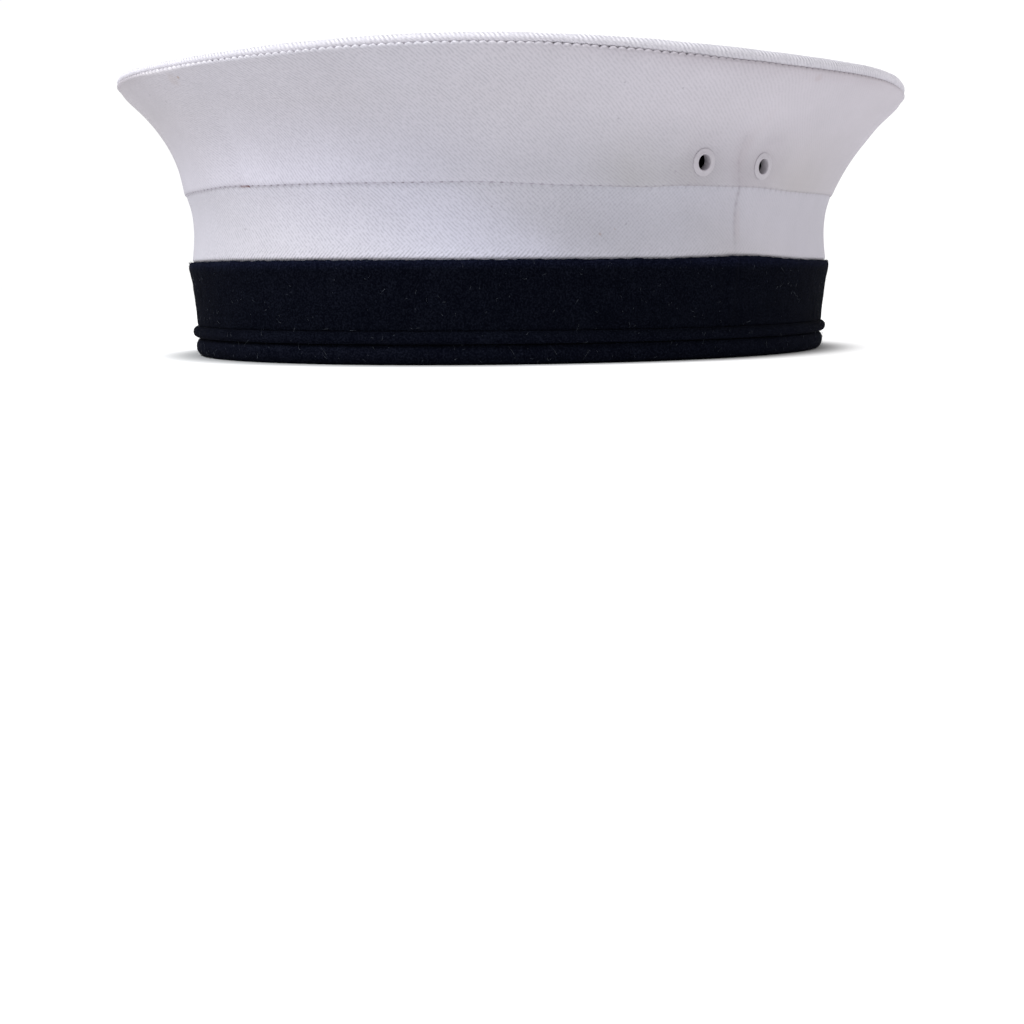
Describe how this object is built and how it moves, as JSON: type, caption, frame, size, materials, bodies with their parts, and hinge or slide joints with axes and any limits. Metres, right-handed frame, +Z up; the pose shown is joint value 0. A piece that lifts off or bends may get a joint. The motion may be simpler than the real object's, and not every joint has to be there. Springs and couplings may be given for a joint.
{
  "type": "sailor cap",
  "caption": "Round white cloth cap with a flaring crown, corded rim, standing side band and dark wool head band.",
  "frame": {"origin": "middle of the head opening, on the surface that the cap's hem rests on", "axes": "+Z up; +Y towards the back of the cap, so its front faces -Y; +X towards the wearer's left side"},
  "size_m": [0.2234, 0.2434, 0.0794],
  "materials": {
    "white_twill": "matte cotton twill, off-white",
    "navy_wool": "felted navy wool, matte",
    "white_enamel": "white painted, low sheen"
  },
  "bodies": {
    "root": {"crown_top": "white_twill", "rim_piping": "white_twill", "flare_front_left": "white_twill", "flare_front_right": "white_twill", "flare_back_left": "white_twill", "flare_back_right": "white_twill", "side_band_front": "white_twill", "side_band_back": "white_twill", "head_band": "navy_wool", "band_bead": "navy_wool", "band_hem": "navy_wool", "eyelet_left_front": "white_enamel", "eyelet_left_back": "white_enamel", "eyelet_right_front": "white_enamel", "eyelet_right_back": "white_enamel"}
  },
  "joints": []
}
